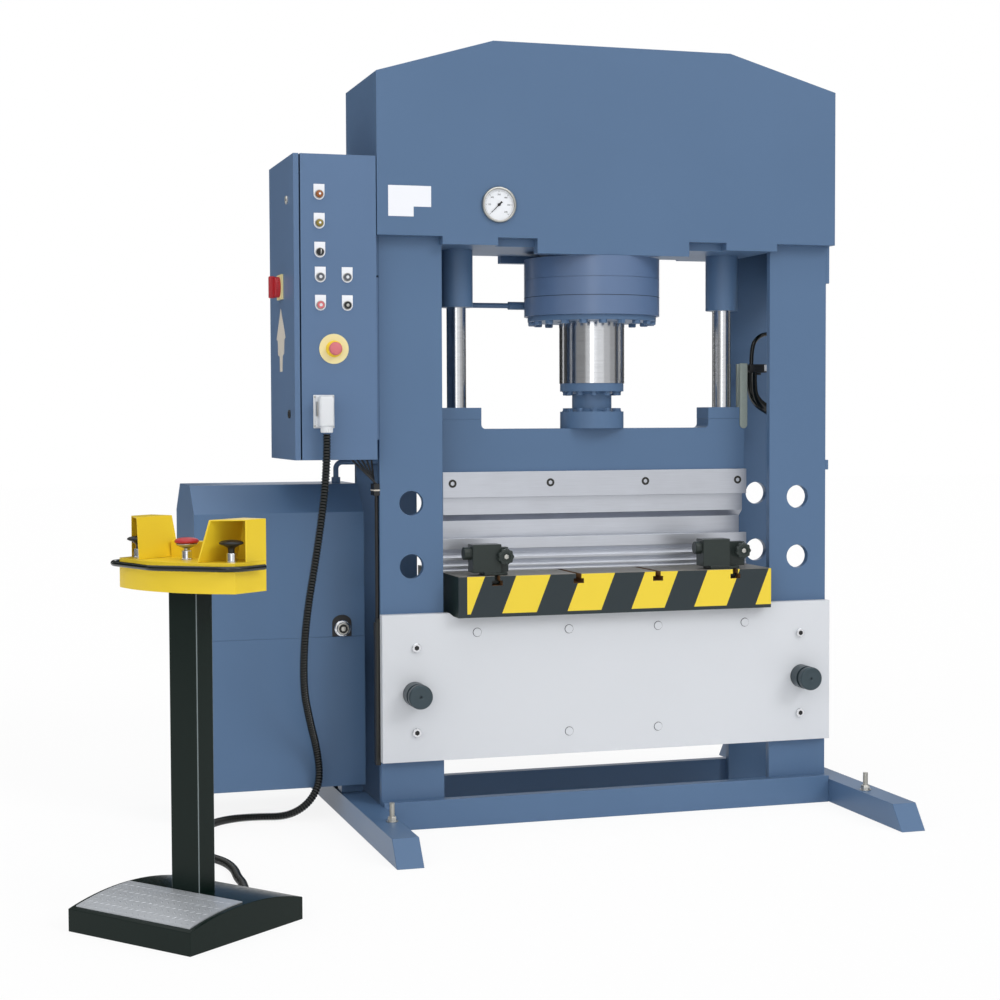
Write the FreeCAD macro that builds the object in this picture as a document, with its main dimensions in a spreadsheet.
import FreeCAD, Part
import Sketcher
import math
import os

# Hydraulic press of open frame form, with its cabinet, power unit and two-hand pedestal.
# Millimetres, +Z up. The press's own frame has its origin on the floor midway between the columns,
# +X to the right of someone who stands in front of it and +Y to the back.

os.makedirs("parts", exist_ok=True)
doc = FreeCAD.newDocument("press")

# ---------------------------------------------------------------- sizes

SIZES = {
    # columns: two flange plates each, side by side along Y
    "column_gap": 1100,
    "column_depth": 350,
    "column_top": 2250,
    "flange_width": 200,
    "flange_thickness": 25,
    "pin_diameter": 75,
    "pin_fit": 0.05,
    "pin_first_height": 420,
    "pin_pitch": 195,
    "lug_height": 1092,
    "lug_rise": 32,
    # head
    "head_plate": 40,
    "head_bottom": 1820,
    "head_corner": 2312,
    "head_peak": 2419,
    "ridge_width": 786,
    "end_plate": 12,
    "end_plate_bottom": 1700,
    "shoulder_overlap": 7,
    "shoulder_drop": 24,
    "notch_width": 760,
    "tongue_width": 506,
    "tongue_drop": 46,
    "head_floor": 25,
    "cover_sheet": 5,
    # base
    "foot_width": 80,
    "foot_length": 1400,
    "foot_height": 76,
    "foot_toe": 60,
    "tie_thickness": 35,
    "tie_height": 88,
    "stud_diameter": 16,
    "stud_offset": 25,
    "stud_front": 415,
    "stud_rear": 515,
    "stud_rise": 40,
    # cylinder, ram and guides
    "cylinder_diameter": 438,
    "cylinder_bottom": 1660,
    "barrel_diameter": 340,
    "barrel_top": 2060,
    "barrel_crown": 45,
    "gland_height": 69,
    "gland_bolt_circle": 390,
    "gland_bolt_head": 30,
    "gland_bolt_count": 20,
    "ram_diameter": 212,
    "ram_fit": 0.05,
    "ram_bottom": 1376,
    "ram_length": 420,
    "stroke": 180,
    "guide_spacing": 912,
    "guide_diameter": 62,
    "guide_fit": 0.05,
    "guide_top": 1860,
    "sleeve_diameter": 106,
    "sleeve_length": 180,
    "pipe_diameter": 17,
    "pipe_bend": 45,
    # ram beam, coupling and punch
    "beam_bottom": 1040,
    "beam_top": 1231,
    "beam_width": 1034,
    "beam_depth": 100,
    "boss_width": 129,
    "boss_rise": 29,
    "boss_fillet": 14,
    "cap_height": 38,
    "coupling_diameter": 206,
    "coupling_flange": 54,
    "coupling_collar": 26,
    "neck_diameter": 128,
    "neck_bevel": 8,
    "coupling_bolt_circle": 170,
    "punch_width": 1026,
    "punch_head": 27,
    "punch_band": 54,
    "punch_band_depth": 80,
    "punch_slope": 20,
    "blade_depth": 30,
    "punch_tip": 853,
    "clamp_plate_width": 1038,
    "clamp_plate_height": 81,
    "clamp_plate_bottom": 1014,
    "clamp_plate": 12,
    "clamp_screw_pitch": 325,
    # table
    "table_plate": 30,
    "table_bottom": 210,
    "table_shoulder": 665,
    "table_seat": 653,
    "table_edge": 2,
    "seat_chamfer": 14,
    "spacer_diameter": 60,
    "spacer_height": 603,
    "spacer_pitch": 300,
    "low_spacer_height": 280,
    "block_width": 1044,
    "block_depth": 500,
    "block_top": 780,
    "tee_pitch": 265,
    "tee_neck": 18,
    "tee_neck_depth": 15,
    "tee_width": 34,
    "tee_depth": 15,
    "die_width": 1040,
    "die_depth": 120,
    "die_top": 885,
    "die_vee": 80,
    "die_vee_depth": 40,
    "stop_offset": 200,
    "tee_bolt_play": 1,
    "seat_gap": 0.3,
    # gauge
    "gauge_x": -378,
    "gauge_height": 1920,
    "gauge_body": 100,
    "gauge_bezel": 111,
    # power unit
    "tank_left": -1290,
    "tank_right": -755,
    "tank_front": 20,
    "tank_back": 440,
    "tank_bottom": 105,
    "tank_seam": 579,
    "cover_crease": 972,
    "cover_top": 1058,
    "cover_chamfer": 95,
    "tank_sheet": 4,
    "leg_width": 60,
    # cabinet
    "cabinet_left": -996,
    "cabinet_right": -765,
    "cabinet_front": -215,
    "cabinet_back": 193,
    "cabinet_bottom": 1141,
    "cabinet_top": 2056,
    "cabinet_sheet": 3,
    "door_depth": 17,
    "door_gap": 4,
    "hinge_radius": 6,
    "hinge_pin": 3,
    "hinge_fit": 0.05,
    "operator_fit": 0.3,
    # pedestal, in its own frame: x along the console, y away from the operator
    "pedestal_x": -1470,
    "pedestal_y": -1103,
    "pedestal_turn": 51,
    "pedestal_side": 410,
    "pedestal_edge": 57,
    "pedestal_crown": 85,
    "pedestal_sheet": 4,
    "tread_sheet": 3,
    "tread_margin": 14,
    "post_width": 94,
    "post_depth": 58,
    "post_back": 25,
    "console_length": 390,
    "console_back": 90,
    "console_front": 25,
    "console_bow": 50,
    "console_bottom": 843,
    "console_deck": 918,
    "console_sheet": 3,
    "hood_top": 1022,
    "hood_front": 18,
    "hood_slope": 0.742,
    "hood_foot": 98,
    "hood_lean": 24,
    "saddle_top": 960,
    "saddle_depth": 30,
    "palm_button_x": 156,
    "palm_button_y": 6,
    "rest_bar_diameter": 14,
    "rest_bar_height": 905,
    "rest_bar_gap": 13,
    "conduit_diameter": 25,
}

sheet = doc.addObject("Spreadsheet::Sheet", "Sizes")
for row, (alias, amount) in enumerate(SIZES.items(), start=1):
    sheet.set("A%d" % row, alias)
    sheet.set("B%d" % row, str(amount))
    sheet.setAlias("B%d" % row, alias)
doc.recompute()


class Size:
    """A size or place: its number, and the formula that gives it from the sheet."""

    def __init__(self, number, formula):
        self.number = float(number)
        self.formula = formula

    def __add__(self, other):
        return Size(self.number + number_of(other), "(%s + %s)" % (self.formula, formula_of(other)))

    def __sub__(self, other):
        return Size(self.number - number_of(other), "(%s - %s)" % (self.formula, formula_of(other)))

    def __mul__(self, other):
        return Size(self.number * number_of(other), "(%s * %s)" % (self.formula, formula_of(other)))

    def __truediv__(self, other):
        return Size(self.number / number_of(other), "(%s / %s)" % (self.formula, formula_of(other)))

    def __radd__(self, other):
        return self + other

    def __rmul__(self, other):
        return self * other

    def __rsub__(self, other):
        return self * -1 + other

    def __neg__(self):
        return self * -1


def number_of(value):
    return value.number if isinstance(value, Size) else float(value)


def formula_of(value):
    return value.formula if isinstance(value, Size) else "(%.6f)" % value


def cosine(angle):
    return Size(math.cos(math.radians(number_of(angle))), "cos(%s)" % formula_of(angle))


def sine(angle):
    return Size(math.sin(math.radians(number_of(angle))), "sin(%s)" % formula_of(angle))


def root(value):
    return Size(math.sqrt(number_of(value)), "sqrt(%s)" % formula_of(value))


class Sheet:
    """The sheet's cells by name."""


size = Sheet()
for alias, amount in SIZES.items():
    setattr(size, alias, Size(amount, "Sizes." + alias))

# ---------------------------------------------------------------- shape helpers

TURN = {
    "x": FreeCAD.Rotation(FreeCAD.Vector(0, 1, 0), 90),
    "y": FreeCAD.Rotation(FreeCAD.Vector(1, 0, 0), -90),
    "z": FreeCAD.Rotation(),
}


def bind(thing, name, value):
    """Sets a property to a size's number and ties it to the size's formula."""
    setattr(thing, name, number_of(value))
    if isinstance(value, Size):
        thing.setExpression(name, value.formula)


def put(thing, x=0, y=0, z=0, turn=None):
    """Places a thing at a point, turned if asked."""
    base = FreeCAD.Vector(number_of(x), number_of(y), number_of(z))
    thing.Placement = FreeCAD.Placement(base, turn or FreeCAD.Rotation())
    for axis, value in zip("xyz", (x, y, z)):
        if isinstance(value, Size):
            thing.setExpression(".Placement.Base." + axis, value.formula)
    return thing


def span(near, far, side=1):
    """The two ends of a stretch, lower first, on the plus or the minus side."""
    ends = (near * side, far * side)
    return ends if number_of(ends[0]) < number_of(ends[1]) else (ends[1], ends[0])


def block(x, y, z):
    """A block between two ends along each axis."""
    thing = doc.addObject("Part::Box", "block")
    for name, (low, high) in zip(("Length", "Width", "Height"), (x, y, z)):
        bind(thing, name, high - low)
    return put(thing, x[0], y[0], z[0])


def rod(diameter, start, length, along="z"):
    """A round bar from its start along an axis."""
    thing = doc.addObject("Part::Cylinder", "rod")
    bind(thing, "Radius", diameter / 2)
    bind(thing, "Height", length)
    return put(thing, *start, turn=TURN[along])


def hexagon(across_flats, start, length, along="z"):
    """A six-sided head or nut from its start along an axis."""
    thing = doc.addObject("Part::Prism", "hexagon")
    thing.Polygon = 6
    bind(thing, "Circumradius", across_flats / math.sqrt(3))
    bind(thing, "Height", length)
    return put(thing, *start, turn=TURN[along])


def cut(base, *tools):
    thing = doc.addObject("Part::Cut", "cut")
    thing.Base = base
    thing.Tool = tools[0] if len(tools) == 1 else join(*tools)
    return thing


def join(*parts):
    thing = doc.addObject("Part::MultiFuse", "join")
    thing.Shapes = list(parts)
    thing.Refine = True
    return thing


def group(*parts):
    """Separate solids kept together."""
    thing = doc.addObject("Part::Compound", "group")
    thing.Links = list(parts)
    return thing


def tube(outer, inner, start, length, along="z"):
    """A round bar with a round bore right through it."""
    return cut(rod(outer, start, length, along), rod(inner, start, length, along))


def new_body(name):
    return doc.addObject("PartDesign::Body", name + "_body")


def new_sketch(body, plane, level=0):
    """A sketch on one of the body's planes, moved to a level along the plane's axis."""
    sketch = body.newObject("Sketcher::SketchObject", "sketch")
    origin_plane = [item for item in body.Origin.OriginFeatures if item.Role == plane + "_Plane"][0]
    sketch.AttachmentSupport = [(origin_plane, "")]
    sketch.MapMode = "FlatFace"
    # the front plane's axis points forward, so its levels count the other way
    height = -1 * level if plane == "XZ" else level
    sketch.AttachmentOffset = FreeCAD.Placement(FreeCAD.Vector(0, 0, number_of(height)), FreeCAD.Rotation())
    if isinstance(height, Size):
        sketch.setExpression(".AttachmentOffset.Base.z", height.formula)
    return sketch


def hold_point(sketch, item, end, point):
    """Dimensions a point of the sketch from the sketch's origin."""
    for kind, axis, value in zip(("DistanceX", "DistanceY"), (-2, -1), point):
        if not isinstance(value, Size) and value == 0:
            sketch.addConstraint(Sketcher.Constraint("PointOnObject", item, end, axis))
            continue
        number = sketch.addConstraint(Sketcher.Constraint(kind, -1, 1, item, end, number_of(value)))
        if isinstance(value, Size):
            sketch.setExpression("Constraints[%d]" % number, value.formula)


def flat(point):
    return FreeCAD.Vector(number_of(point[0]), number_of(point[1]), 0)


def draw_outline(sketch, corners, bows=None):
    """A closed outline through corners; a bow bends the side after its corner through one more point."""
    bows = bows or {}
    first = sketch.GeometryCount
    starts = []
    for index, corner in enumerate(corners):
        after = corners[(index + 1) % len(corners)]
        if index in bows:
            bow = flat(bows[index])
            sketch.addGeometry(Part.Arc(flat(corner), bow, flat(after)), False)
            left_turn = (bow - flat(corner)).cross(flat(after) - bow).z > 0
            starts.append((1, 2) if left_turn else (2, 1))
        else:
            sketch.addGeometry(Part.LineSegment(flat(corner), flat(after)), False)
            starts.append((1, 2))
    count = len(corners)
    for index in range(count):
        after = (index + 1) % count
        ends = (first + index, starts[index][1], first + after, starts[after][0])
        sketch.addConstraint(Sketcher.Constraint("Coincident", *ends))
    for index, corner in enumerate(corners):
        hold_point(sketch, first + index, starts[index][0], corner)
    for index, bow in bows.items():
        mark = sketch.addGeometry(Part.Point(flat(bow)), True)
        sketch.addConstraint(Sketcher.Constraint("PointOnObject", mark, 1, first + index))
        hold_point(sketch, mark, 1, bow)
    return sketch


def draw_circle(sketch, centre, diameter):
    circle = sketch.addGeometry(Part.Circle(flat(centre), FreeCAD.Vector(0, 0, 1), number_of(diameter) / 2), False)
    number = sketch.addConstraint(Sketcher.Constraint("Diameter", circle, number_of(diameter)))
    if isinstance(diameter, Size):
        sketch.setExpression("Constraints[%d]" % number, diameter.formula)
    hold_point(sketch, circle, 3, centre)
    return sketch


def pad(body, sketch, length, middle=False):
    feature = body.newObject("PartDesign::Pad", "pad")
    feature.Profile = sketch
    bind(feature, "Length", length)
    if middle:
        feature.SideType = "Symmetric"
    body.Tip = feature
    return feature


def pocket_through(body, sketch):
    feature = body.newObject("PartDesign::Pocket", "pocket")
    feature.Profile = sketch
    feature.Type = "ThroughAll"
    feature.SideType = "Symmetric"
    body.Tip = feature
    return feature


def pocket(body, sketch, length, middle=False, flip=False):
    feature = body.newObject("PartDesign::Pocket", "pocket")
    feature.Profile = sketch
    bind(feature, "Length", length)
    feature.Reversed = flip
    if middle:
        feature.SideType = "Symmetric"
    body.Tip = feature
    return feature


def revolve(body, sketch, axis="V_Axis"):
    feature = body.newObject("PartDesign::Revolution", "turned")
    feature.Profile = sketch
    feature.ReferenceAxis = (sketch, [axis])
    feature.Angle = 360
    body.Tip = feature
    return feature


def row_of(body, feature, sketch, axis, length, count):
    """Repeats a cut along a sketch axis."""
    pattern = body.newObject("PartDesign::LinearPattern", "row")
    pattern.Originals = [feature]
    pattern.Direction = (sketch, [axis])
    bind(pattern, "Length", length)
    pattern.Occurrences = count
    body.Tip = pattern
    return pattern


def turned(name, plane, corners, axis="V_Axis", bows=None):
    """A body turned from one profile."""
    body = new_body(name)
    sketch = draw_outline(new_sketch(body, plane), corners, bows)
    revolve(body, sketch, axis)
    return body


def profile_bar(name, plane, corners, length, level=0, middle=False, bows=None):
    """A body of one section, straight along its plane's axis."""
    body = new_body(name)
    sketch = draw_outline(new_sketch(body, plane, level), corners, bows)
    pad(body, sketch, length, middle)
    return body


def bend(before, corner, after, set_radius):
    """The arc that rounds one corner of a route: its two ends, centre, radius and turn."""
    back = before - corner
    ahead = after - corner
    shorter = min(back.Length, ahead.Length)
    back.normalize()
    ahead.normalize()
    turn = math.pi - back.getAngle(ahead)
    radius = 0.45 * shorter / math.tan(turn / 2)
    if set_radius:
        radius = min(radius, set_radius)
    reach = radius * math.tan(turn / 2)
    inward = back + ahead
    inward.normalize()
    centre = corner + inward * (radius / math.cos(turn / 2))
    return corner + back * reach, corner + ahead * reach, centre, radius, turn


def hose(name, points, diameter, set_radius=None):
    """A round lead, pipe or bar along straight runs joined by tangent arcs, as wide as its runs allow."""
    points = [FreeCAD.Vector(*point) for point in points]

    def section(at, direction):
        return Part.Face(Part.Wire(Part.makeCircle(diameter / 2, at, direction)))

    pieces = []
    radii = []
    length = 0
    here = points[0]
    for before, corner, after in zip(points, points[1:], points[2:]):
        start, end, centre, radius, turn = bend(before, corner, after, set_radius)
        pieces.append(section(here, start - here).extrude(start - here))
        axis = (start - centre).cross(end - centre)
        pieces.append(section(start, corner - start).revolve(centre, axis, math.degrees(turn)))
        length += (start - here).Length + radius * turn
        radii.append(radius)
        here = end
    pieces.append(section(here, points[-1] - here).extrude(points[-1] - here))
    length += (points[-1] - here).Length
    shape = pieces[0].multiFuse(pieces[1:]).removeSplitter().Solids[0]
    area = math.pi * diameter ** 2 / 4
    print("%s: length %.0f, radii %s, volume ratio %.4f" %
          (name, length, " ".join("%.0f" % radius for radius in radii), shape.Volume / (area * length)))
    thing = doc.addObject("Part::Feature", name + "_shape")
    thing.Shape = shape
    return thing


# ---------------------------------------------------------------- shared places

half_gap = size.column_gap / 2
column_outer = half_gap + size.flange_width
head_half = column_outer + size.end_plate
foot_outer = column_outer + size.foot_width
front = size.column_depth / 2
pin_x = half_gap + size.flange_width / 2
table_front = front + size.table_plate
head_front = front + size.head_plate
tongue = size.head_bottom - size.tongue_drop
shoulder = size.head_bottom - size.shoulder_drop
beam_half = size.beam_width / 2
boss_top = size.beam_top + size.boss_rise
cap_top = boss_top + size.cap_height
guide_x = size.guide_spacing / 2
block_bottom = size.table_seat
gland_bottom = size.cylinder_bottom - size.gland_height
ram_bore = size.ram_diameter + 2 * size.ram_fit
coupling_bottom = size.beam_top
guide_bore = size.guide_diameter + 2 * size.guide_fit
tee_mouth = size.block_top - size.tee_neck_depth
tee_floor = tee_mouth - size.tee_depth
stop_x = 1.5 * size.tee_pitch

# The row frame's origin is at the middle of the whole footprint, the leads and conduit left out.
pedestal_reach = (size.pedestal_side / 2) * (cosine(size.pedestal_turn) + sine(size.pedestal_turn))
shift_x = (pedestal_reach - size.pedestal_x - foot_outer) / 2
shift_y = (pedestal_reach - size.pedestal_y - size.foot_length / 2) / 2

nodes = []


def node(thing, name, x=0, y=0, z=0, turn=None):
    """Names a sub-part and puts it in the row frame."""
    thing.Label = name
    put(thing, shift_x + x, shift_y + y, z, turn)
    nodes.append((name, thing))
    return thing


# ---------------------------------------------------------------- frame

def column_plates():
    """Four flange plates with a row of bored pin holes each, and the lug on the right column's edge."""
    plates = []
    for side in (-1, 1):
        for level in (-front + size.flange_thickness, front):
            body = new_body("flange")
            left, right = span(half_gap, column_outer, side)
            corners = [(left, 0), (right, 0), (right, size.column_top), (left, size.column_top)]
            pad(body, draw_outline(new_sketch(body, "XZ", level), corners), size.flange_thickness)
            holes = new_sketch(body, "XZ", level)
            draw_circle(holes, (side * pin_x, size.pin_first_height), size.pin_diameter + 2 * size.pin_fit)
            bored = pocket_through(body, holes)
            row_of(body, bored, holes, "V_Axis", 3 * size.pin_pitch, 4)
            plates.append(body)
    lug = block((column_outer, column_outer + 11), (-front, -front + size.flange_thickness),
                (size.lug_height, size.lug_height + size.lug_rise))
    plates.append(lug)
    return group(*plates)


def head_outline():
    shoulder_half = half_gap + size.shoulder_overlap
    notch_half = size.notch_width / 2
    tongue_half = size.tongue_width / 2
    right = [
        (tongue_half, tongue),
        (tongue_half, size.head_bottom),
        (notch_half, size.head_bottom),
        (notch_half, shoulder),
        (shoulder_half, shoulder),
        (shoulder_half, size.head_bottom),
        (head_half, size.head_bottom),
        (head_half, size.head_corner),
        (size.ridge_width / 2, size.head_peak),
    ]
    return right + [(-1 * x, z) for x, z in reversed(right)]


def head_plates():
    """Front and rear head plates of one outline, and the floor plate between them."""
    front_plate = profile_bar("head", "XZ", head_outline(), size.head_plate, level=-front)
    hole = new_sketch(front_plate, "XZ", -front)
    draw_circle(hole, (size.gauge_x, size.gauge_height), size.gauge_body + 1)
    pocket_through(front_plate, hole)
    rear_plate = profile_bar("head", "XZ", head_outline(), size.head_plate, level=head_front)
    floor = block((-half_gap + size.seat_gap, half_gap - size.seat_gap), (-front, front),
                  (shoulder, shoulder + size.head_floor))
    tools = [rod(size.barrel_diameter + 1, (0, 0, shoulder), size.head_floor)]
    for side in (-1, 1):
        tools.append(rod(size.guide_diameter + 2, (side * guide_x, 0, shoulder), size.head_floor))
    return group(front_plate, rear_plate, cut(floor, *tools))


def head_casing():
    """End plates that hang below the head's corners, and the folded sheet that roofs it."""
    slope = (size.head_peak - size.head_corner) / (head_half - size.ridge_width / 2)
    edge = size.head_corner + slope * size.end_plate
    ridge = size.ridge_width / 2
    roof = [(column_outer, edge), (ridge, size.head_peak)]
    roof += [(-1 * x, z) for x, z in reversed(roof)]
    under = [(x, z - size.cover_sheet) for x, z in reversed(roof)]
    cover = profile_bar("cover", "XZ", roof + under, size.column_depth, level=front)
    ends = [block(span(column_outer, head_half, side), (-front, front), (size.end_plate_bottom, size.head_corner))
            for side in (-1, 1)]
    return group(cover, *ends)


def base_frame():
    """Two feet with sloping toes, bored for the floor studs, and the two ties between them."""
    parts = []
    half = size.foot_length / 2
    toe = half - size.foot_toe
    corners = [(-1 * half, 0), (half, 0), (toe, size.foot_height), (-1 * toe, size.foot_height)]
    for side in (-1, 1):
        left, right = span(column_outer, foot_outer, side)
        foot = profile_bar("foot", "YZ", corners, right - left, level=left)
        holes = [rod(size.stud_diameter + 2, (side * (column_outer + size.stud_offset), y, 0), size.foot_height)
                 for y in (-size.stud_front, size.stud_rear)]
        parts.append(cut(foot, *holes))
        parts.append(block((-1 * column_outer, column_outer), span(front, front + size.tie_thickness, side),
                           (0, size.tie_height)))
    return group(*parts)


def anchor_studs():
    """A stud with washer and nut near each end of each foot."""
    washer = 3
    nut = 13
    studs = []
    for side in (-1, 1):
        for y in (-size.stud_front, size.stud_rear):
            x = side * (column_outer + size.stud_offset)
            stud = rod(size.stud_diameter, (x, y, 0), size.foot_height + washer + nut + size.stud_rise)
            ring = rod(size.stud_diameter + 20, (x, y, size.foot_height), washer)
            head = hexagon(size.stud_diameter * 1.5, (x, y, size.foot_height + washer), nut)
            studs.append(join(stud, ring, head))
    return group(*studs)


# ---------------------------------------------------------------- cylinder and guides

def cylinder():
    """Stepped cylinder, its wide disc seated under the head's tongues, and the gland ring below it."""
    outer = size.cylinder_diameter / 2
    barrel = size.barrel_diameter / 2
    groove = size.cylinder_bottom + 48
    corners = [
        (ram_bore / 2, size.cylinder_bottom),
        (outer, size.cylinder_bottom),
        (outer, groove),
        (outer - 1.5, groove),
        (outer - 1.5, groove + 2),
        (outer, groove + 2),
        (outer, tongue),
        (barrel, tongue),
        (barrel, size.barrel_top),
        (0, size.barrel_top),
        (0, size.barrel_top - size.barrel_crown),
        (ram_bore / 2, size.barrel_top - size.barrel_crown),
    ]
    gland = tube(size.cylinder_diameter, ram_bore, (0, 0, gland_bottom), size.gland_height)
    return group(turned("cylinder", "XZ", corners), gland)


TIE_END = 3


def frame_bolts():
    """Gland bolts round the cylinder, the flat ends of the table's tie rods and the screws of its plates."""
    bolts = []
    count = int(number_of(size.gland_bolt_count))
    for index in range(count):
        angle = 360 / count * (index + 0.5)
        x = size.gland_bolt_circle / 2 * cosine(angle)
        y = size.gland_bolt_circle / 2 * sine(angle)
        bolts.append(hexagon(26, (x, y, gland_bottom - size.gland_bolt_head), size.gland_bolt_head))
    for x, z in spacer_places():
        for start in (-table_front - TIE_END, table_front):
            bolts.append(rod(26, (x, start, z), TIE_END, "y"))
    for side in (-1, 1):
        for z in (562, 300):
            bolts.append(rod(24, (side * (pin_x - 5), -table_front - 8, z), 8, "y"))
    return group(*bolts)


def guide_sleeves():
    bottom = shoulder - size.sleeve_length
    return group(*[tube(size.sleeve_diameter, guide_bore, (side * guide_x, 0, bottom), size.sleeve_length)
                   for side in (-1, 1)])


def guide_rods():
    start = boss_top
    return group(*[rod(size.guide_diameter, (side * guide_x, 0, start), size.guide_top - start)
                   for side in (-1, 1)])


def feed_pipe():
    """Pressure pipe from the power unit up the left column to the gland, with a fitting at each end."""
    height = 1630
    level = 100
    union = -252
    riser = (-815, level + 60)
    crossing = number_of(size.cover_top) + 68
    points = [(union, level, height), (-650, level, height), (-650, level, crossing), (*riser, crossing),
              (*riser, number_of(size.cover_top) + 20)]
    pipe = hose("feed_pipe", points, size.pipe_diameter.number, size.pipe_bend.number)
    gland_end = cut(rod(26, (union, level, height), -170 - union, "x"),
                    rod(size.cylinder_diameter, (0, 0, gland_bottom), size.gland_height))
    unit_end = rod(28, (*riser, size.cover_top), 20)
    return group(pipe, gland_end, unit_end)


# ---------------------------------------------------------------- gauge

def gauge_case():
    """Round case through the front head plate, with a stepped bezel and a recessed dial."""
    y = -head_front
    bezel = size.gauge_bezel / 2
    case = size.gauge_body / 2
    corners = [
        (0, y + 50),
        (case, y + 50),
        (case, y),
        (bezel, y),
        (bezel, y - 8),
        (bezel - 8, y - 12),
        (bezel - 8, y - 2),
        (0, y - 2),
    ]
    return turned("gauge", "XY", corners)


def gauge_needle():
    """Tapered pointer with its hub, lying at the zero of the dial, lower left."""
    hub = rod(9, (0, -5, 0), 3, "y")
    pointer = profile_bar("pointer", "XZ", [(-2.2, -10), (2.2, -10), (0.6, 36), (-0.6, 36)], 1, level=-3)
    return join(hub, pointer)


# ---------------------------------------------------------------- ram

def ram():
    """Chromed ram, its top inside the cylinder."""
    radius = size.ram_diameter / 2
    top = size.ram_bottom + size.ram_length
    return turned("ram", "XZ", [(0, size.ram_bottom), (radius, size.ram_bottom), (radius, top), (0, top)])


def ram_coupling():
    """One turned spool: lower disc on the beam, neck with bevelled roots, collar under the ram."""
    disc = size.coupling_diameter / 2
    neck = size.neck_diameter / 2
    low = coupling_bottom + size.coupling_flange
    high = size.ram_bottom - size.coupling_collar
    root_bevel = size.neck_bevel
    corners = [
        (0, coupling_bottom),
        (disc, coupling_bottom),
        (disc, low),
        (neck + root_bevel, low),
        (neck, low + root_bevel),
        (neck, high - root_bevel),
        (neck + root_bevel, high),
        (disc, high),
        (disc, size.ram_bottom),
        (0, size.ram_bottom),
    ]
    return turned("coupling", "XZ", corners)


def ram_screws():
    """Screws of the coupling, above and below its neck, and of the punch clamp plates."""
    screws = []
    count = 12
    for index in range(count):
        angle = 360 / count * (index + 0.5)
        x = size.coupling_bolt_circle / 2 * cosine(angle)
        y = size.coupling_bolt_circle / 2 * sine(angle)
        screws.append(hexagon(17, (x, y, coupling_bottom + size.coupling_flange), 10))
        screws.append(hexagon(17, (x, y, size.ram_bottom - size.coupling_collar - 13), 13))
    face = size.beam_depth / 2 + size.clamp_plate
    for side, start in ((-1, -face - 1), (1, face)):
        for step in (-1.5, -0.5, 0.5, 1.5):
            screws.append(rod(26, (step * size.clamp_screw_pitch, start, size.clamp_plate_bottom + 45), 1, "y"))
    return group(*screws)


def ram_beam():
    """Wide beam with a raised boss at each end, its roots rounded, bored for nothing but weight."""
    inner = beam_half - size.boss_width
    fillet = size.boss_fillet
    tuck = fillet * (1 - math.sqrt(0.5))
    right = [
        (beam_half, size.beam_bottom),
        (beam_half, boss_top),
        (inner, boss_top),
        (inner, size.beam_top + fillet),
        (inner - fillet, size.beam_top),
    ]
    corners = right + [(-1 * x, z) for x, z in reversed(right)]
    bow = (inner - tuck, size.beam_top + tuck)
    bows = {3: bow, 5: (-1 * bow[0], bow[1])}
    body = profile_bar("beam", "XZ", corners, size.beam_depth, middle=True, bows=bows)
    return body


def rod_caps():
    """Cap plates that clamp the guide rods on the beam's bosses."""
    caps = []
    for side in (-1, 1):
        cap = block(span(beam_half - size.boss_width, beam_half, side),
                    (-size.beam_depth / 2, size.beam_depth / 2), (boss_top, cap_top))
        caps.append(cut(cap, rod(size.guide_diameter, (side * guide_x, 0, boss_top), size.cap_height)))
    return group(*caps)


def punch():
    """Bending punch: head in the clamp, band, sloping shoulders and a blade with a pointed nose."""
    head = size.beam_depth / 2
    band = size.punch_band_depth / 2
    blade = size.blade_depth / 2
    band_top = size.beam_bottom - size.punch_head
    band_bottom = band_top - size.punch_band
    blade_top = band_bottom - size.punch_slope
    nose = 1.5
    right = [
        (nose, size.punch_tip),
        (blade, size.punch_tip + (blade - nose) * 1.07),
        (blade, blade_top),
        (band, band_bottom),
        (band, band_top),
        (head, band_top),
        (head, size.beam_bottom),
    ]
    corners = right + [(-1 * y, z) for y, z in reversed(right)]
    return profile_bar("punch", "YZ", corners, size.punch_width, middle=True)


def punch_clamp_plates():
    plates = []
    inner = size.beam_depth / 2
    for side in (-1, 1):
        plates.append(block((-size.clamp_plate_width / 2, size.clamp_plate_width / 2),
                            span(inner, inner + size.clamp_plate, side),
                            (size.clamp_plate_bottom, size.clamp_plate_bottom + size.clamp_plate_height)))
    return group(*plates)


def cam_bar():
    """Switch bar up the beam's right end, rounded at its foot."""
    left = beam_half
    right = beam_half + 28
    bottom = size.beam_top - 4
    corners = [(right, bottom + 14), (right, bottom + 215), (left, bottom + 215), (left, bottom + 14)]
    bows = {3: (left + 14, bottom)}
    return profile_bar("cam", "XZ", corners, 12, level=size.beam_depth / 4, bows=bows)


def stroke_switch():
    """Switch with roller arm inside the right column, its bracket and its two leads."""
    left = beam_half + 28 + 2
    bottom = 1416
    arm = block((left, 585), (12, 24), (bottom + 4, bottom + 22))
    housing = block((585, 621), (0, 40), (bottom - 20, bottom + 26))
    bracket = block((590, 616), (40, front - size.flange_thickness), (bottom - 10, bottom + 10))
    upper = hose("switch_lead", [(600, 20, bottom + 26), (600, 20, bottom + 96), (618, 58, bottom + 185)], 9, 30)
    lower = hose("switch_hose", [(605, 20, bottom - 20), (605, 20, bottom - 100), (690, 50, bottom - 150)], 18, 30)
    return group(join(arm, housing, bracket), upper, lower)


# ---------------------------------------------------------------- table

def spacer_places():
    places = [(step * size.spacer_pitch, size.spacer_height) for step in (-1.5, -0.5, 0.5, 1.5)]
    places += [(side * size.spacer_pitch / 2, size.low_spacer_height) for side in (-1, 1)]
    return places


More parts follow.
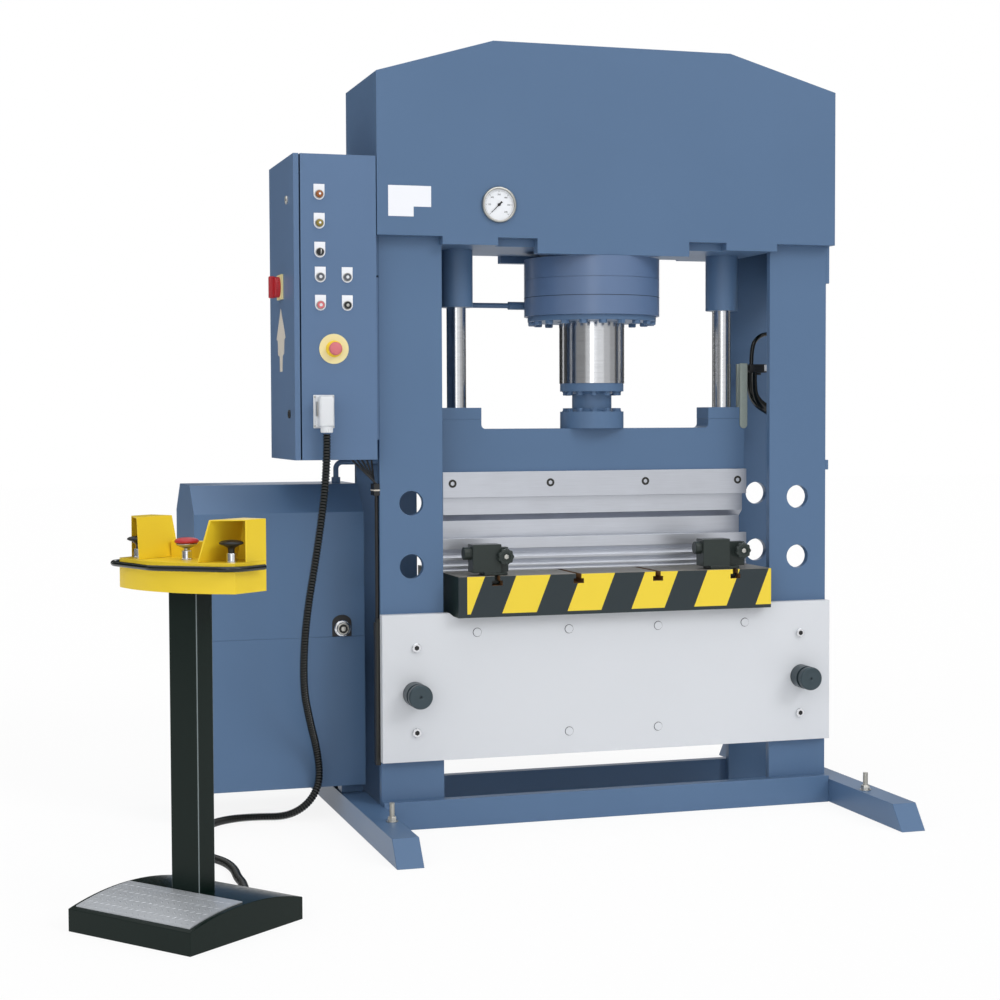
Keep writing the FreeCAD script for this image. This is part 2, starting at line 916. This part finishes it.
def table_plates():
    """Front and rear table plates with a seat for the block and holes for the pins."""
    seat = size.block_width / 2 + 2
    edge = column_outer + size.table_edge
    right = [
        (edge, size.table_bottom),
        (edge, size.table_shoulder),
        (seat + size.seat_chamfer, size.table_shoulder),
        (seat, size.table_seat),
    ]
    corners = right + [(-1 * x, z) for x, z in reversed(right)]
    plates = []
    for level in (-front, table_front):
        plate = profile_bar("table", "XZ", corners, size.table_plate, level=level)
        holes = new_sketch(plate, "XZ", level)
        for side in (-1, 1):
            draw_circle(holes, (side * pin_x, size.pin_first_height), size.pin_diameter + 2 * size.pin_fit)
        pocket_through(plate, holes)
        plates.append(plate)
    return group(*plates)


def table_spacers():
    return group(*[rod(size.spacer_diameter, (x, -front, z), size.column_depth, "y") for x, z in spacer_places()])


def table_pin():
    """Table pin with bevelled ends and a pull groove at the front."""
    radius = size.pin_diameter / 2
    bevel = 3
    nose = -table_front - 80
    tail = table_front + 30
    groove = nose + 22
    corners = [
        (0, nose),
        (radius - bevel, nose),
        (radius, nose + bevel),
        (radius, groove),
        (radius - 6, groove),
        (radius - 6, groove + 14),
        (radius, groove + 14),
        (radius, tail - bevel),
        (radius - bevel, tail),
        (0, tail),
    ]
    return turned("pin", "XY", corners)


def tee_slot_block():
    """Block with four T-slots from front to back."""
    half = size.block_width / 2
    corners = [(-1 * half, block_bottom), (half, block_bottom), (half, size.block_top), (-1 * half, size.block_top)]
    body = profile_bar("block", "XZ", corners, size.block_depth, middle=True)
    slot = new_sketch(body, "XZ")
    x = -1 * stop_x
    neck = size.tee_neck / 2
    wing = size.tee_width / 2
    right = [(wing, tee_floor), (wing, tee_mouth), (neck, tee_mouth), (neck, size.block_top + 1)]
    outline = [(x + u, z) for u, z in right] + [(x - u, z) for u, z in reversed(right)]
    draw_outline(slot, outline)
    cutter = pocket_through(body, slot)
    row_of(body, cutter, slot, "H_Axis", 3 * size.tee_pitch, 4)
    return body


def die_block():
    """V-die: wide V on top, narrower ones down both faces."""
    half = size.die_depth / 2
    vee = size.die_vee / 2
    right = [(vee, size.die_top), (half, size.die_top)]
    for height, width in ((838, 26), (808, 18), (789, 10)):
        right += [(half, height + width / 2), (half - width / 2, height), (half, height - width / 2)]
    right += [(half, size.block_top)]
    corners = [(0, size.die_top - size.die_vee_depth)] + right + [(-1 * y, z) for y, z in reversed(right)]
    return profile_bar("die", "YZ", corners, size.die_width, middle=True)


# where each stop's body, foot and end disc lie along the block, from its slot's middle
STOP_REACH = {
    "left": (-72, 20, -36, 39, -96),
    "right": (-102, -10, -78, 22, -122),
}
STOP_KNOB_X = 30
STOP_KNOB_RISE = 58


def edge_stop(body_from, body_to, foot_from, foot_to, disc_from):
    """Cast stop: body, foot over the slot, lug for the knob, end disc, and the T-bolt in the slot."""
    seat = size.block_top
    body = block((body_from, body_to), (-30, 30), (seat + 9, seat + 96))
    foot = block((foot_from, foot_to), (-32, 32), (seat + size.seat_gap, seat + 9))
    lug = block((body_to, STOP_KNOB_X + 16), (-16, 16), (seat + 9, seat + 86))
    disc = rod(40, (disc_from, 0, seat + 68), body_from - disc_from + 1, "x")
    half_neck = (size.tee_neck - size.tee_bolt_play) / 2
    half_head = (size.tee_width - size.tee_bolt_play) / 2
    bolt_neck = block((-1 * half_neck, half_neck), (-16, 16), (tee_mouth - 1, seat + 1))
    bolt_head = block((-1 * half_head, half_head), (-16, 16), (tee_floor + 2, tee_mouth - 0.5))
    casting = join(body, foot, lug, disc, bolt_neck, bolt_head)
    return cut(casting, rod(10.4, (STOP_KNOB_X, -30, seat + STOP_KNOB_RISE), 60, "y"))


def stop_knob():
    """Star knob of five lobes on its spindle, in front of the stop's body."""
    hub = rod(34, (0, -50, 0), 18, "y")
    lobes = [rod(19, (18 * math.cos(math.radians(72 * step)), -48, 18 * math.sin(math.radians(72 * step))), 14, "y")
             for step in range(5)]
    spindle = rod(10, (0, -32, 0), 46, "y")
    return join(hub, spindle, *lobes)


# ---------------------------------------------------------------- power unit

def oil_tank():
    """Sheet tank, standing on pads on the left foot and on two legs at its far end."""
    inside = size.tank_sheet
    outer = block((size.tank_left, size.tank_right), (size.tank_front, size.tank_back), (size.tank_bottom, size.tank_seam))
    inner = block((size.tank_left + inside, size.tank_right - inside), (size.tank_front + inside, size.tank_back - inside),
                  (size.tank_bottom + inside, size.tank_seam))
    shell = cut(outer, inner)
    supports = []
    for near in (size.tank_front + 40, size.tank_back - 40 - size.leg_width):
        reach = (near, near + size.leg_width)
        supports.append(block((-foot_outer + 5, size.tank_right - 2), reach, (size.foot_height, size.tank_bottom)))
        supports.append(block((size.tank_left, size.tank_left + 50), reach, (0, size.tank_bottom)))
    return join(shell, *supports)


def tank_cover():
    """Folded cover with sloping front and back, over motor, pump and valves."""
    def outline(inset):
        return [
            (size.tank_front + inset, size.tank_seam),
            (size.tank_back - inset, size.tank_seam),
            (size.tank_back - inset, size.cover_crease - inset / 2),
            (size.tank_back - size.cover_chamfer - inset / 2, size.cover_top - inset),
            (size.tank_front + size.cover_chamfer + inset / 2, size.cover_top - inset),
            (size.tank_front + inset, size.cover_crease - inset / 2),
        ]
    body = profile_bar("unit", "YZ", outline(0 * size.tank_sheet), size.tank_right - size.tank_left, level=size.tank_left)
    hollow = draw_outline(new_sketch(body, "YZ", size.tank_left + size.tank_sheet), outline(size.tank_sheet))
    pocket(body, hollow, size.tank_right - size.tank_left - 2 * size.tank_sheet, flip=True)
    return body


def oil_filler():
    """Filler flange with its breather cap, on the cover's front just above the seam."""
    return turned("filler", "XY", [(0, 0), (31, 0), (31, -6), (26, -6), (26, -26), (22, -30), (0, -30)])


# ---------------------------------------------------------------- cabinet

OPERATORS = {
    # name: x, height
    "lamp_upper": (-939, 1936),
    "lamp_lower": (-939, 1850),
    "key_switch": (-938, 1764),
    "push_button_upper_left": (-937, 1690),
    "push_button_upper_right": (-855, 1690),
    "push_button_lower_left": (-937, 1606),
    "push_button_lower_right": (-855, 1606),
    "cabinet_stop_button": (-897, 1475),
}
OPERATOR_STEM = 22


def cabinet_body():
    """Sheet cabinet open on its left, bored for its operators, on two rails to the column's edges."""
    wall = size.cabinet_sheet
    outer = block((size.cabinet_left, size.cabinet_right), (size.cabinet_front, size.cabinet_back),
                  (size.cabinet_bottom, size.cabinet_top))
    inner = block((size.cabinet_left, size.cabinet_right - wall), (size.cabinet_front + wall, size.cabinet_back - wall),
                  (size.cabinet_bottom + wall, size.cabinet_top - wall))
    holes = [rod(OPERATOR_STEM + 2 * size.operator_fit, (x, size.cabinet_front, z), wall, "y")
             for x, z in OPERATORS.values()]
    shell = cut(outer, inner, *holes)
    rails = [block((size.cabinet_right, -1 * column_outer), span(front - size.flange_thickness, front, side),
                   (size.cabinet_bottom + 60, size.end_plate_bottom - 5)) for side in (-1, 1)]
    knuckles = [hinge_knuckle(height, size.cabinet_left + 2, size.hinge_pin * 2) for height in hinge_heights(0)]
    return join(shell, *rails, *knuckles)


def hinge_heights(step):
    """Foot of each hinge knuckle: the cabinet's own are lower, the door's sit on them."""
    rise = 40 + step * 40.3
    return [size.cabinet_bottom + rise, size.cabinet_top - 160 + step * 40.3]


HINGE_Y = 6.5


def hinge_knuckle(height, edge, pin):
    """The cabinet's knuckle with its fixed pin standing up out of it, and the leaf to the wall."""
    x = size.cabinet_left - 2
    y = size.cabinet_back + HINGE_Y
    barrel = rod(size.hinge_radius * 2, (x, y, height), 40)
    leaf = block((x, x + 22), (size.cabinet_back, size.cabinet_back + 3), (height, height + 40))
    pin_bar = rod(pin, (x, y, height), 80)
    return join(barrel, leaf, pin_bar)


def cabinet_door():
    """Lid door: a shallow tray over the cabinet's whole left side, on two hinge knuckles."""
    wall = size.cabinet_sheet
    right = size.cabinet_left - size.door_gap
    left = right - size.door_depth
    outer = block((left, right), (size.cabinet_front, size.cabinet_back), (size.cabinet_bottom, size.cabinet_top))
    inner = block((left + wall, right), (size.cabinet_front + wall, size.cabinet_back - wall),
                  (size.cabinet_bottom + wall, size.cabinet_top - wall))
    holes = [rod(LOCK_BARREL + 2 * size.operator_fit, (left, y, z), wall, "x") for y, z in DOOR_FITTINGS.values()]
    shell = cut(outer, inner, *holes)
    x = size.cabinet_left - 2
    y = size.cabinet_back + HINGE_Y
    parts = [shell]
    for height in hinge_heights(1):
        barrel = rod(size.hinge_radius * 2, (x, y, height), 40)
        leaf = block((right - 12, x), (size.cabinet_back, size.cabinet_back + 3), (height, height + 40))
        bore = rod((size.hinge_pin + size.hinge_fit) * 2, (x, y, height), 40)
        parts.append(cut(join(barrel, leaf), bore))
    return join(*parts)


LOCK_BARREL = 18
SWITCH_PLATE = 76
DOOR_FITTINGS = {
    "door_lock_upper": (-113, 1927),
    "door_lock_lower": (-132, 1280),
    "main_switch": (0, 1671),
}


def door_lock():
    """Quarter-turn lock: round head with a driving slot, barrel through the sheet, cam inside."""
    head = cut(rod(26, (-5, 0, 0), 5, "x"), block((-5, -2), (-2, 2), (-9, 9)))
    barrel = rod(LOCK_BARREL, (0, 0, 0), 8, "x")
    cam = block((8, 11), (-8, 8), (-8, 30))
    return join(head, barrel, cam)


def main_switch():
    """Round grip with a raised bar, and the spindle through the door."""
    grip = rod(64, (-22, 0, 0), 15.7, "x")
    bar = block((-38, -22), (-9, 9), (-34, 34))
    spindle = rod(LOCK_BARREL, (-6.3, 0, 0), 20, "x")
    return join(grip, bar, spindle)


def main_switch_plate():
    """Square plate behind the main switch's grip."""
    plate = block((-6, 0), (-SWITCH_PLATE / 2, SWITCH_PLATE / 2), (-SWITCH_PLATE / 2, SWITCH_PLATE / 2))
    return cut(plate, rod(LOCK_BARREL + 2 * size.operator_fit, (-6, 0, 0), 6, "x"))


def legend_plates():
    """Small plates under the operators, rounded at the foot, and the round plate of the stop button."""
    plates = []
    y = size.cabinet_front
    for name, (x, z) in OPERATORS.items():
        if name == "cabinet_stop_button":
            plates.append(cut(rod(90, (x, y - 2, z), 2, "y"), rod(OPERATOR_STEM + 1, (x, y - 2, z), 2, "y")))
            continue
        corners = [(x + 16.5, z - 12), (x + 16.5, z + 30), (x - 16.5, z + 30), (x - 16.5, z - 12)]
        body = profile_bar("legend", "XZ", corners, 2, level=y, bows={3: (x, z - 17)})
        plates.append(cut(body, rod(OPERATOR_STEM + 1, (x, y - 2, z), 2, "y")))
    return group(*plates)


def lamp(name):
    """Pilot lamp: bevelled lens on its ring, with the stem through the sheet."""
    x, z = OPERATORS[name]
    body = turned(name, "XY", [(0, -16), (8, -16), (11, -11), (11, -7), (14.5, -7), (14.5, -2), (11, -2),
                               (11, 24), (0, 24)])
    return put(body, x, size.cabinet_front, z)


def push_button():
    """Flat push button, its cap as wide as the stem behind it."""
    return turned("button", "XY", [(0, -10), (11, -10), (11, 24), (0, 24)])


def key_switch():
    """Key switch: rotor with a grip across it."""
    rotor = rod(OPERATOR_STEM, (0, -10, 0), 34, "y")
    grip = block((-3, 3), (-24, -10), (-9, 9))
    return join(rotor, grip)


def mushroom(diameter, stem):
    """Mushroom button with a bevelled crown, flared under its rim, its axis along +Z and its foot at zero."""
    radius = diameter / 2
    corners = [
        (0, 0),
        (stem / 2, 0),
        (stem / 2, 33),
        (radius, 44),
        (radius, 49),
        (radius * 0.78, 54),
        (0, 54),
    ]
    return turned("mushroom", "XZ", corners)


def connector():
    """Rectangular plug connector with a bevelled top, its gland pointing down."""
    y = size.cabinet_front
    corners = [(y, 1240), (y, 1337), (y - 30, 1337), (y - 55, 1312), (y - 55, 1240)]
    body = profile_bar("connector", "YZ", corners, 64, level=-962)
    gland = rod(38, (CONDUIT_TOP[0], CONDUIT_TOP[1], CONDUIT_TOP[2]), 1240 - CONDUIT_TOP[2])
    return join(body, gland)


def control_gear():
    """Gear plate on its studs, wiring ducts, contactors, breakers and a transformer."""
    wall = size.cabinet_right - size.cabinet_sheet
    face = wall - 15
    plate = block((face - 3, face), (-190, 165), (size.cabinet_bottom + 40, size.cabinet_top - 40))
    studs = [rod(10, (face, y, z), 15, "x") for y in (-175, 150) for z in (1200, 1995)]
    gear = [plate, *studs]
    for z in (1350, 1560, 1770, 1960):
        gear.append(block((face - 63, face - 3), (-170, 145), (z, z + 25)))
    for row, (z, depth, height, width, count) in enumerate(((1400, 90, 90, 60, 4), (1610, 80, 85, 45, 6),
                                                            (1820, 75, 85, 36, 8))):
        for index in range(count):
            start = -165 + index * (width + 2)
            gear.append(block((face - 3 - depth, face - 3), (start, start + width), (z, z + height)))
    gear.append(block((face - 103, face - 3), (-150, -20), (1200, 1320)))
    return group(*gear)


def cabinet_leads():
    """Leads slanting from the cabinet's underside to a clip, one cable down the column, and its channel."""
    edge = -column_outer
    clip_top = 1066
    clip_bottom = 1030
    channel_top = 640
    parts = []
    for index in range(5):
        y = -170 + 7.5 * index
        top_x = -835 + 17 * index
        lean = math.atan2(number_of(edge) - 9 - top_x, number_of(size.cabinet_bottom) - clip_top)
        long_lead = doc.addObject("Part::Cylinder", "lead")
        bind(long_lead, "Radius", 3)
        bind(long_lead, "Height", 140)
        down = FreeCAD.Vector(math.sin(lean), 0, -math.cos(lean))
        start = FreeCAD.Vector(top_x, y, number_of(size.cabinet_bottom)) - down * 20
        put(long_lead, start.x, start.y, start.z, FreeCAD.Rotation(FreeCAD.Vector(0, 0, 1), down))
        between = block((-900, edge), (y - 5, y + 5), (clip_top, size.cabinet_bottom - 0))
        piece = doc.addObject("Part::Common", "lead_between")
        piece.Base = long_lead
        piece.Tool = between
        parts.append(piece)
    parts.append(block((edge - 18, edge), (-177, -133), (clip_bottom, clip_top)))
    parts.append(rod(12, (edge - 6 - size.seat_gap, -160, channel_top), clip_bottom - channel_top))
    parts.append(block((edge - 16, edge), (-172, -150), (200, channel_top)))
    return group(*parts)


# ---------------------------------------------------------------- pedestal

def crown_height(y, lift=0):
    """Height of the arched top of the pedestal's foot at a distance from its ridge."""
    rise = size.pedestal_crown - size.pedestal_edge
    half = size.pedestal_side / 2
    radius = (half * half + rise * rise) / (2 * rise)
    return size.pedestal_crown - radius + root((radius + lift) * (radius + lift) - y * y)


POST_PLATE = 4


def pedestal_base():
    """Arched sheet foot of the pedestal, with the conduit's gland at the back."""
    half = size.pedestal_side / 2
    wall = size.pedestal_sheet
    corners = [(-1 * half, 0), (half, 0), (half, size.pedestal_edge), (-1 * half, size.pedestal_edge)]
    body = profile_bar("foot", "YZ", corners, size.pedestal_side, middle=True, bows={2: (0, size.pedestal_crown)})
    inner = half - wall
    hollow = [(-1 * inner, 0), (inner, 0), (inner, size.pedestal_edge - wall), (-1 * inner, size.pedestal_edge - wall)]
    sketch = draw_outline(new_sketch(body, "YZ"), hollow, {2: (0, size.pedestal_crown - wall)})
    pocket(body, sketch, size.pedestal_side - 2 * wall, middle=True)
    gap = size.seat_gap
    opening = block((-size.post_width / 2 - gap, size.post_width / 2 + gap),
                    (size.post_back - size.post_depth / 2 - gap, size.post_back + size.post_depth / 2 + gap),
                    (POST_PLATE, size.pedestal_crown + 1))
    nut = rod(38, (0, half, GLAND_HEIGHT), 10, "y")
    stub = rod(30, (0, half + 10, GLAND_HEIGHT), GLAND_REACH - 10, "y")
    knee = doc.addObject("Part::Sphere", "knee")
    bind(knee, "Radius", 15)
    put(knee, 0, half + GLAND_REACH, GLAND_HEIGHT)
    mouth = rod(30, (0, 0, 0), ELBOW_LENGTH, "y")
    lean = FreeCAD.Rotation(FreeCAD.Vector(0, 0, 1), -ELBOW_TURN) * TURN["y"]
    put(mouth, 0, half + GLAND_REACH, GLAND_HEIGHT, lean)
    return group(cut(body, opening), join(nut, stub, knee, mouth))


def tread_plate():
    """Chequered tread over the front half of the foot, bent to its arch."""
    near = -size.pedestal_side / 2 + size.tread_margin
    far = size.post_back - size.post_depth / 2 - 2
    middle = (near + far) / 2
    seat = size.seat_gap
    sheet_lift = seat + size.tread_sheet
    corners = [
        (near, crown_height(near, seat)),
        (far, crown_height(far, seat)),
        (far, crown_height(far, sheet_lift)),
        (near, crown_height(near, sheet_lift)),
    ]
    bows = {0: (middle, crown_height(middle, seat)), 2: (middle, crown_height(middle, sheet_lift))}
    return profile_bar("tread", "YZ", corners, size.pedestal_side - 2 * size.tread_margin, middle=True, bows=bows)


def pedestal_column():
    """Rectangular post on its foot plate, up to the underside of the console's deck."""
    half = size.post_width / 2
    near = size.post_back - size.post_depth / 2
    far = size.post_back + size.post_depth / 2
    wall = size.pedestal_sheet
    top = size.console_deck - size.console_sheet
    post = cut(block((-1 * half, half), (near, far), (0, top)),
               block((-1 * half + wall, half - wall), (near + wall, far - wall), (POST_PLATE, top)))
    plate = block((-80, 80), (size.post_back - 60, size.post_back + 60), (0, POST_PLATE))
    return join(post, plate)


def hood_line(x):
    """How far forward the hood's slanting mouth is at a distance from the middle."""
    return size.hood_front - (size.console_length / 2 - x) * size.hood_slope


def console():
    """Bowed apron with its deck and saddle, and the two hoods welded on the deck, which open outwards."""
    half = size.console_length / 2
    wall = size.console_sheet
    body = new_body("console")
    apron = [
        (-1 * half, size.console_back),
        (-1 * half, -size.console_front),
        (half, -size.console_front),
        (half, size.console_back),
    ]
    bow = {1: (0, -size.console_front - size.console_bow)}
    outline = draw_outline(new_sketch(body, "XY", size.console_bottom), apron, bow)
    pad(body, outline, size.console_deck - size.console_bottom)
    inner = half - wall
    hollow = [
        (-1 * inner, size.console_back - wall),
        (-1 * inner, -size.console_front),
        (inner, -size.console_front),
        (inner, size.console_back - wall),
    ]
    bow = {1: (0, -size.console_front - size.console_bow + wall)}
    outline = draw_outline(new_sketch(body, "XY", size.console_bottom), hollow, bow)
    pocket(body, outline, size.console_deck - size.console_bottom - wall, flip=True)
    saddle = [
        (-size.hood_foot, size.console_back - size.saddle_depth),
        (size.hood_foot, size.console_back - size.saddle_depth),
        (size.hood_foot, size.console_back),
        (-size.hood_foot, size.console_back),
    ]
    outline = draw_outline(new_sketch(body, "XY", size.console_deck), saddle)
    pad(body, outline, size.saddle_top - size.console_deck)
    bores = new_sketch(body, "XY", size.console_deck)
    for x, y in console_places():
        draw_circle(bores, (x, y), STEM + 0.6)
    pocket(body, bores, wall)
    collars = [tube(STEM + 8, STEM + 0.6, (x, y, size.console_deck), 22) for x, y in console_places()]
    hoods = []
    for side in (-1, 1):
        shell = new_body("hood")
        hood(shell, side, "AdditiveLoft", 0, 0, size.hood_top)
        hood(shell, side, "SubtractiveLoft", wall, 15, size.hood_top - wall)
        hoods.append(shell)
    return group(body, *hoods, *collars)


STEM = 16


def console_places():
    return [(-size.palm_button_x, size.palm_button_y), (size.palm_button_x, size.palm_button_y), (0, 14)]


def hood(body, side, kind, wall, reach, top):
    """One hood, or the hollow inside it: its inner wall leans outward as it rises."""
    outer = size.console_length / 2 - wall
    sections = []
    for level, inner in ((size.console_deck, size.hood_foot + wall), (top, size.hood_foot + size.hood_lean + wall)):
        corners = [
            (outer, hood_line(outer) - reach),
            (outer, size.console_back - wall),
            (inner, size.console_back - wall),
            (inner, hood_line(inner) - reach),
        ]
        sections.append(draw_outline(new_sketch(body, "XY", level), [(side * x, y) for x, y in corners]))
    feature = body.newObject("PartDesign::" + kind, "hood")
    feature.Profile = sections[0]
    feature.Sections = [sections[1]]
    feature.Ruled = True
    body.Tip = feature


def rest_bar():
    """Wrist bar round the apron's front and sides, on two studs."""
    side_x = size.console_length / 2 + size.rest_bar_gap + size.rest_bar_diameter / 2
    side = number_of(side_x)
    bar_points = [(side, 60), (side, -46), (0, -112), (-side, -46), (-side, 60)]
    level = number_of(size.rest_bar_height)
    bar = hose("rest_bar", [(x, y, level) for x, y in bar_points], number_of(size.rest_bar_diameter), 60)
    studs = [rod(8, (span(size.console_length / 2, side_x, side)[0], 30, size.rest_bar_height),
                 size.rest_bar_gap + size.rest_bar_diameter / 2, "x") for side in (-1, 1)]
    return join(bar, *studs)


# ---------------------------------------------------------------- conduit

GLAND_HEIGHT = 24
GLAND_REACH = 18
CONDUIT_TOP = (-928, -250, 1220)
CONDUIT = [
    CONDUIT_TOP,
    (-928, -250, 1100),
    (-955, -238, 885),
    (-988, -197, 650),
    (-984, -132, 450),
    (-953, -72, 335),
    (-918, -18, 227),
    (-908, -8, 137),
    (-927, 2, 80),
    (-964, 22, 37),
    (-1014, 49, 13),
    (-1090, 72, 13),
    (-1170, 70, 13),
    (-1237, 28, 13),
    (-1278, -48, 13),
    (-1304, -165, 13),
    (-1324, -320, 13),
    (-1310, -520, 13),
    (-1284, -710, 14),
]
ELBOW_LENGTH = 34
ELBOW_TURN = -45


def base_elbow_end(distance):
    """A point along the base elbow's axis, past its end, in the press's own frame."""
    turn = math.radians(number_of(size.pedestal_turn))
    lean = math.radians(number_of(size.pedestal_turn) + ELBOW_TURN)
    back = number_of(size.pedestal_side) / 2 + GLAND_REACH
    reach = ELBOW_LENGTH + distance
    return (number_of(size.pedestal_x) + back * math.sin(turn) + reach * math.sin(lean),
            number_of(size.pedestal_y) + back * math.cos(turn) + reach * math.cos(lean), GLAND_HEIGHT)


def conduit():
    """Conduit from the cabinet's connector down and over the floor to the pedestal's elbow."""
    points = CONDUIT + [base_elbow_end(110), base_elbow_end(0)]
    return hose("conduit", points, number_of(size.conduit_diameter))


# ---------------------------------------------------------------- assembly

node(column_plates(), "column_plates")
node(head_plates(), "head_plates")
node(head_casing(), "head_casing")
node(base_frame(), "base_frame")
node(anchor_studs(), "anchor_studs")
node(cylinder(), "cylinder")
node(frame_bolts(), "frame_bolts")
node(guide_sleeves(), "guide_sleeves")
node(feed_pipe(), "feed_pipe")
node(gauge_case(), "gauge_case", x=size.gauge_x, z=size.gauge_height)
node(gauge_needle(), "gauge_needle", x=size.gauge_x, y=-head_front, z=size.gauge_height,
     turn=FreeCAD.Rotation(FreeCAD.Vector(0, 1, 0), -135))

node(ram(), "ram")
node(ram_coupling(), "ram_coupling")
node(ram_screws(), "ram_screws")
node(ram_beam(), "ram_beam")
node(rod_caps(), "rod_caps")
node(guide_rods(), "guide_rods")
node(punch(), "punch")
node(punch_clamp_plates(), "punch_clamp_plates")
node(cam_bar(), "cam_bar")
node(stroke_switch(), "stroke_switch")

node(table_plates(), "table_plates")
node(table_spacers(), "table_spacers")
node(tee_slot_block(), "tee_slot_block")
node(die_block(), "die_block")
for name, side in (("left", -1), ("right", 1)):
    node(edge_stop(*STOP_REACH[name]), "stop_" + name, x=side * stop_x, y=-size.stop_offset)
    node(stop_knob(), "stop_knob_" + name, x=side * stop_x + STOP_KNOB_X, y=-size.stop_offset,
         z=size.block_top + STOP_KNOB_RISE)
    node(table_pin(), "table_pin_" + name, x=side * pin_x, z=size.pin_first_height)

node(oil_tank(), "oil_tank")
node(tank_cover(), "tank_cover")
node(oil_filler(), "oil_filler", x=-829, y=size.tank_front, z=size.tank_seam + 31)

node(cabinet_body(), "cabinet_body")
node(cabinet_door(), "cabinet_door")
door_face = size.cabinet_left - size.door_gap - size.door_depth
for name in ("door_lock_upper", "door_lock_lower"):
    node(door_lock(), name, x=door_face, y=DOOR_FITTINGS[name][0], z=DOOR_FITTINGS[name][1])
for thing, name in ((main_switch(), "main_switch"), (main_switch_plate(), "main_switch_plate")):
    node(thing, name, x=door_face, y=DOOR_FITTINGS["main_switch"][0], z=DOOR_FITTINGS["main_switch"][1])
node(legend_plates(), "legend_plates")
node(group(lamp("lamp_upper"), lamp("lamp_lower")), "pilot_lamps")
node(key_switch(), "key_switch", x=OPERATORS["key_switch"][0], y=size.cabinet_front, z=OPERATORS["key_switch"][1])
for name, (x, z) in OPERATORS.items():
    if name.startswith("push_button"):
        node(push_button(), name, x=x, y=size.cabinet_front, z=z)
x, z = OPERATORS["cabinet_stop_button"]
node(mushroom(40, OPERATOR_STEM), "cabinet_stop_button", x=x, y=size.cabinet_front + 20, z=z,
     turn=FreeCAD.Rotation(FreeCAD.Vector(1, 0, 0), 90))
node(connector(), "connector")
node(control_gear(), "control_gear")
node(cabinet_leads(), "cabinet_leads")

pedestal = {"x": size.pedestal_x, "y": size.pedestal_y,
            "turn": FreeCAD.Rotation(FreeCAD.Vector(0, 0, 1), -SIZES["pedestal_turn"])}
node(pedestal_base(), "pedestal_base", **pedestal)
node(tread_plate(), "tread_plate", **pedestal)
node(pedestal_column(), "pedestal_column", **pedestal)
node(console(), "console", **pedestal)
node(rest_bar(), "rest_bar", **pedestal)


def on_console(x, y):
    """A point of the console's deck in the press's own frame."""
    along = cosine(size.pedestal_turn)
    across = sine(size.pedestal_turn)
    return size.pedestal_x + x * along + y * across, size.pedestal_y - x * across + y * along


for name, (x, y) in zip(("palm_button_left", "palm_button_right", "console_stop_button"), console_places()):
    place_x, place_y = on_console(x, y)
    node(mushroom(61, STEM), name, x=place_x, y=place_y, z=size.console_deck + 1)
node(conduit(), "conduit")

# ---------------------------------------------------------------- checks and export

doc.recompute()
faults = [item.Label for item in doc.Objects if "Invalid" in item.State or "Error" in item.State]
for name, thing in nodes:
    if thing.Shape.isNull() or not thing.Shape.isValid():
        faults.append(name)
if faults:
    raise SystemExit("faulty: " + ", ".join(faults))
if len({name for name, thing in nodes}) != len(nodes):
    raise SystemExit("two sub-parts share a name")

whole = FreeCAD.BoundBox()
for name, thing in nodes:
    thing.Shape.exportStep("parts/%s.step" % name)
    if name not in ("conduit",):
        whole.add(thing.Shape.BoundBox)
print("sub-parts: %d, solids: %d" % (len(nodes), sum(len(thing.Shape.Solids) for name, thing in nodes)))
print("box without the conduit: %.2f %.2f %.2f to %.2f %.2f %.2f" %
      (whole.XMin, whole.YMin, whole.ZMin, whole.XMax, whole.YMax, whole.ZMax))
print("press centre in the row frame: %.3f %.3f" % (number_of(shift_x), number_of(shift_y)))
